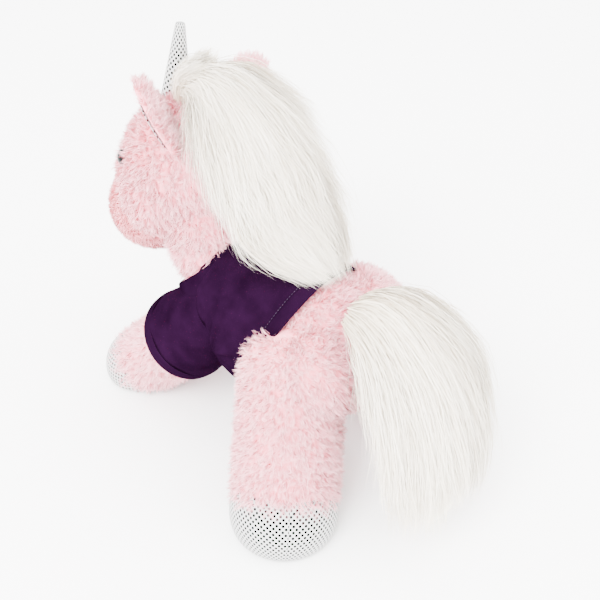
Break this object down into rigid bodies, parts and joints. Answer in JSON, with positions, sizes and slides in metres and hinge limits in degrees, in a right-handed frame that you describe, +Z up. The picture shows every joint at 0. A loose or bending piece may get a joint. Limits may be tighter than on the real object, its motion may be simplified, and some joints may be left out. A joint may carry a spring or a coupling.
{
  "type": "plush unicorn",
  "caption": "Stuffed plush unicorn in a short-sleeved jersey shirt, with bending padded legs, a nodding head, folding ears, a long mane and a tail.",
  "frame": {"origin": "on the floor under the middle of the bounding box", "axes": "the toy faces -Y, its left is +X and +Z is up"},
  "size_m": [0.2964, 0.4074, 0.3531],
  "materials": {
    "pink_plush": "soft pile about 8 mm long",
    "face_plush": "short pile",
    "white_hair": "long straight faux hair",
    "silver_foil": "silver foil dots on woven cloth",
    "purple_jersey": "knitted jersey",
    "stuffing": "polyester fibre",
    "black_plastic": "polished",
    "clear_plastic": "natural",
    "pink_thread": "satin stitch"
  },
  "bodies": {
    "torso": {"shirt_back": "purple_jersey", "shirt_collar": "purple_jersey", "shirt_front": "purple_jersey", "shirt_hem": "purple_jersey", "torso_fill": "stuffing", "torso_skin": "pink_plush"},
    "neck": {"mane_drape": "white_hair", "neck_fill": "stuffing", "neck_skin": "pink_plush"},
    "head": {"eye_left": "black_plastic", "eye_right": "black_plastic", "eye_washer_left": "clear_plastic", "eye_washer_right": "clear_plastic", "face_skin": "face_plush", "forelock": "white_hair", "head_fill": "stuffing", "head_skin": "pink_plush", "horn_fill": "stuffing", "horn_skin": "silver_foil", "mane": "white_hair", "mouth": "pink_thread", "nostril_left": "pink_thread", "nostril_right": "pink_thread"},
    "ear_left": {"ear_left_back": "pink_plush", "ear_left_lining": "silver_foil"},
    "ear_right": {"ear_right_back": "pink_plush", "ear_right_lining": "silver_foil"},
    "tail": {"tail_hair": "white_hair", "tail_tab": "pink_plush"},
    "front_left_leg": {"front_left_hoof_sole": "silver_foil", "front_left_hoof_wall": "silver_foil", "front_left_leg_fill": "stuffing", "front_left_leg_skin": "pink_plush", "sleeve_cuff_left": "purple_jersey", "sleeve_left": "purple_jersey"},
    "front_right_leg": {"front_right_hoof_sole": "silver_foil", "front_right_hoof_wall": "silver_foil", "front_right_leg_fill": "stuffing", "front_right_leg_skin": "pink_plush", "sleeve_cuff_right": "purple_jersey", "sleeve_right": "purple_jersey"},
    "hind_left_leg": {"hind_left_hoof_sole": "silver_foil", "hind_left_hoof_wall": "silver_foil", "hind_left_leg_fill": "stuffing", "hind_left_leg_skin": "pink_plush"},
    "hind_right_leg": {"hind_right_hoof_sole": "silver_foil", "hind_right_hoof_wall": "silver_foil", "hind_right_leg_fill": "stuffing", "hind_right_leg_skin": "pink_plush"}
  },
  "joints": [
    {"name": "neck_turn", "type": "hinge", "parent": "torso", "child": "neck", "pos_m": [0, -0.05825, 0.144], "axis": [0, -0.7071, 0.7071], "range_deg": [-20, 20], "stiffness_Nm_per_rad": 2.5, "deforming": ["mane_drape", "mane"]},
    {"name": "head_nod", "type": "hinge", "parent": "neck", "child": "head", "pos_m": [0, -0.09225, 0.178], "axis": [0.9794, -0.1029, 0.1737], "range_deg": [-6, 15], "stiffness_Nm_per_rad": 2.5, "deforming": ["mane"]},
    {"name": "hind_left_swing", "type": "hinge", "parent": "torso", "child": "hind_left_leg", "pos_m": [0.046, 0.04175, 0.12], "axis": [1, 0, 0], "range_deg": [-20, 20], "stiffness_Nm_per_rad": 5},
    {"name": "front_left_swing", "type": "hinge", "parent": "torso", "child": "front_left_leg", "pos_m": [0.035, -0.05825, 0.114], "axis": [1, 0, 0], "range_deg": [-20, 20], "stiffness_Nm_per_rad": 5, "deforming": ["sleeve_left", "sleeve_cuff_left"]},
    {"name": "hind_right_swing", "type": "hinge", "parent": "torso", "child": "hind_right_leg", "pos_m": [-0.046, 0.04175, 0.12], "axis": [1, 0, 0], "range_deg": [-20, 20], "stiffness_Nm_per_rad": 5},
    {"name": "front_right_swing", "type": "hinge", "parent": "torso", "child": "front_right_leg", "pos_m": [-0.035, -0.05825, 0.114], "axis": [1, 0, 0], "range_deg": [-20, 20], "stiffness_Nm_per_rad": 5, "deforming": ["sleeve_right", "sleeve_cuff_right"]},
    {"name": "tail_lift", "type": "hinge", "parent": "torso", "child": "tail", "pos_m": [0, 0.07375, 0.146], "axis": [1, 0, 0], "range_deg": [0, 40], "stiffness_Nm_per_rad": 0.6},
    {"name": "ear_left_fold", "type": "hinge", "parent": "head", "child": "ear_left", "pos_m": [0.02618, -0.09682, 0.26949], "axis": [0.7395, 0.6177, 0.2676], "range_deg": [-15, 15], "stiffness_Nm_per_rad": 0.05},
    {"name": "ear_right_fold", "type": "hinge", "parent": "head", "child": "ear_right", "pos_m": [-0.05609, -0.08817, 0.2549], "axis": [-0.6456, 0.7633, 0.022], "range_deg": [-15, 15], "stiffness_Nm_per_rad": 0.05}
  ]
}
